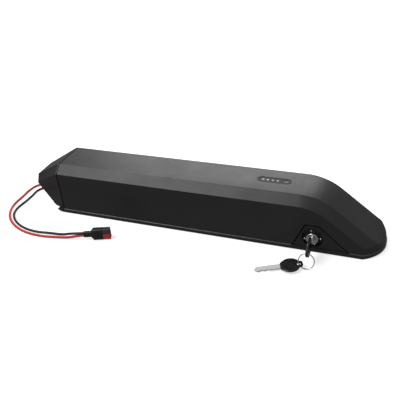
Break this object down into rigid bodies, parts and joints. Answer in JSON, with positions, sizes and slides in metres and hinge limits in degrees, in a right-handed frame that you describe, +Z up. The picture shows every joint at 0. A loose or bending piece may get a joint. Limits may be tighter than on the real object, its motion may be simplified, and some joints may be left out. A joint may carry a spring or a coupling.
{
  "type": "e-bike battery pack with frame cradle",
  "caption": "Black e-bike down-tube battery pack on its bolt-on cradle, with key lock, spare key, charge indicator, power button, charge socket and red and black discharge leads.",
  "frame": {"origin": "middle of the row of four frame bolts, on the underside of the cradle", "axes": "+X from the tail cap to the nose, -Y the side with the lock, +Z up away from the bicycle tube"},
  "size_m": [0.552, 0.147, 0.0765],
  "materials": {
    "board": "green solder mask",
    "board_parts": "black component bodies",
    "brass": "plain",
    "cap": "smooth semi-gloss black",
    "cell_wrap": "shrink wrap, green",
    "chrome": "polished nickel plate",
    "copper_alloy": "silver-plated copper alloy",
    "cradle": "fine matt black",
    "foam": "closed-cell foam",
    "holder": "plain moulded black-grey",
    "housing_grey": "moulded polycarbonate, dark grey",
    "housing_red": "moulded polycarbonate, red",
    "inner_plastic": "plain dark grey",
    "lens": "smoked clear plastic",
    "light_guide": "milky clear plastic",
    "nickel": "pure nickel strip",
    "paper": "insulating paper",
    "rubber": "matt moulded",
    "shell": "fine satin texture, black glass-filled nylon",
    "silicone_black": "soft silicone, black",
    "silicone_red": "soft silicone, red",
    "steel": "zinc plated"
  },
  "bodies": {
    "cradle": {"cradle_base": "cradle", "tail_hooks": "inner_plastic", "seat_pads": "rubber", "terminal_block": "inner_plastic", "terminal_blades": "copper_alloy", "lead_stubs": "silicone_black", "cable_grommet": "rubber", "lock_housing": "chrome", "lock_bezel": "inner_plastic", "lock_nut": "steel", "lead_red": "silicone_red", "lead_black": "silicone_black", "connector_boot": "rubber", "connector_sleeve": "rubber", "connector_housing_red": "housing_red", "connector_housing_black": "housing_grey", "connector_contacts": "copper_alloy"},
    "pack": {"main_case": "shell", "bottom_cover": "inner_plastic", "cover_screws": "steel", "tail_cap": "cap", "tail_gasket": "rubber", "tail_screws": "steel", "pivot_bar": "steel", "strike_plate": "steel", "cells": "cell_wrap", "cell_holder_front": "holder", "cell_holder_rear": "holder", "nickel_strips_front": "nickel", "nickel_strips_rear": "nickel", "foam_pads": "foam", "insulation_sheets": "paper", "bms_board": "board", "bms_parts": "board_parts", "board_posts": "inner_plastic", "fuse": "inner_plastic", "pack_lead_positive": "silicone_red", "pack_lead_negative": "silicone_black", "discharge_socket": "inner_plastic", "socket_contacts": "copper_alloy", "indicator_lens": "lens", "light_guides": "light_guide", "indicator_board": "board", "leds": "light_guide", "switch_body": "board_parts", "charge_port": "inner_plastic", "charge_pin": "brass", "flap_ears": "inner_plastic", "flap_pin": "steel"},
    "lock_plug": {"lock_plug": "brass", "key_blade": "chrome", "key_bow": "cap"},
    "lock_pin": {"lock_pin": "steel"},
    "key_ring": {"key_ring": "chrome"},
    "spare_key": {"spare_key_blade": "chrome", "spare_key_bow": "cap"},
    "power_button": {"power_button": "rubber", "switch_plunger": "board_parts"},
    "charge_flap": {"charge_flap": "rubber"}
  },
  "joints": [
    {"name": "pack_lift", "type": "hinge", "parent": "cradle", "child": "pack", "pos_m": [-0.205, 0, 0.019], "axis": [0, -1, 0], "range_deg": [0, 8]},
    {"name": "lock_turn", "type": "hinge", "parent": "cradle", "child": "lock_plug", "pos_m": [0.166, -0.038, 0.0213], "axis": [0, 1, 0], "range_deg": [0, 90]},
    {"name": "lock_pin_slide", "type": "slide", "parent": "cradle", "child": "lock_pin", "axis": [0, 1, 0], "range_m": [0, 0.007]},
    {"name": "key_ring_swing", "type": "hinge", "parent": "lock_plug", "child": "key_ring", "pos_m": [0.166, -0.069, 0.0196], "axis": [1, 0, 0], "range_deg": [-12, 0]},
    {"name": "spare_key_hang", "type": "hinge", "parent": "key_ring", "child": "spare_key", "pos_m": [0.15743, -0.07408, 0.00575], "axis": [0, 1, 0], "range_deg": [-56, 0]},
    {"name": "power_button_press", "type": "slide", "parent": "pack", "child": "power_button", "axis": [0, 0, -1], "range_m": [0, 0.001], "stiffness_N_per_m": 400},
    {"name": "charge_flap_open", "type": "hinge", "parent": "pack", "child": "charge_flap", "pos_m": [0.1769, 0.0406, 0.033], "axis": [0, 0, 1], "range_deg": [0, 110]}
  ],
  "couplings": [
    {"joint": "spare_key_hang", "follows": "lock_turn", "ratio": -0.62},
    {"joint": "lock_pin_slide", "follows": "lock_turn", "m_per_rad": 0.0044519}
  ]
}
